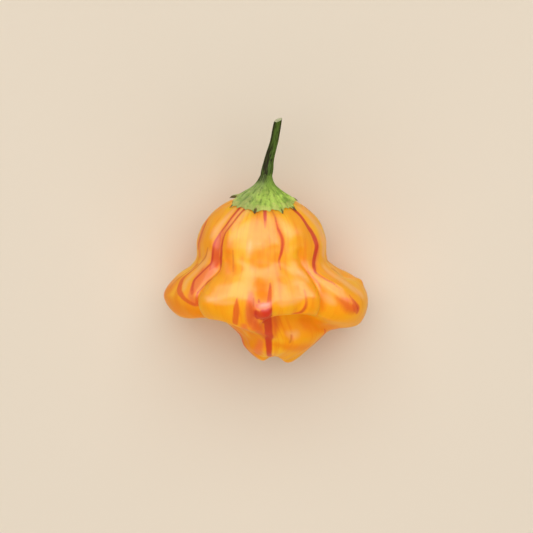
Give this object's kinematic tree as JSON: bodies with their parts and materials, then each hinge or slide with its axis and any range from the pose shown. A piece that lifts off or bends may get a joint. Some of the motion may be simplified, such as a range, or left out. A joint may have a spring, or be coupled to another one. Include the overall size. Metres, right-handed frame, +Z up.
{
  "type": "chilli pepper",
  "caption": "Bell shaped chilli pepper with spreading lobes, lying on its side with its green calyx and cut stem.",
  "frame": {"origin": "middle of the bottom of the bounding box, on the surface that the pepper lies on", "axes": "+Y towards the stem along the pepper's length, +Z up from the surface, +X to the right"},
  "size_m": [0.0506, 0.0598, 0.0351],
  "materials": {
    "pod_skin": "waxy glossy skin, orange with red stripes",
    "calyx_leaf": "satin green leaf with browned teeth",
    "stem_bark": "matte green stalk with dark streaks"
  },
  "bodies": {
    "root": {"pod": "pod_skin", "calyx": "calyx_leaf", "stem": "stem_bark"}
  },
  "joints": []
}
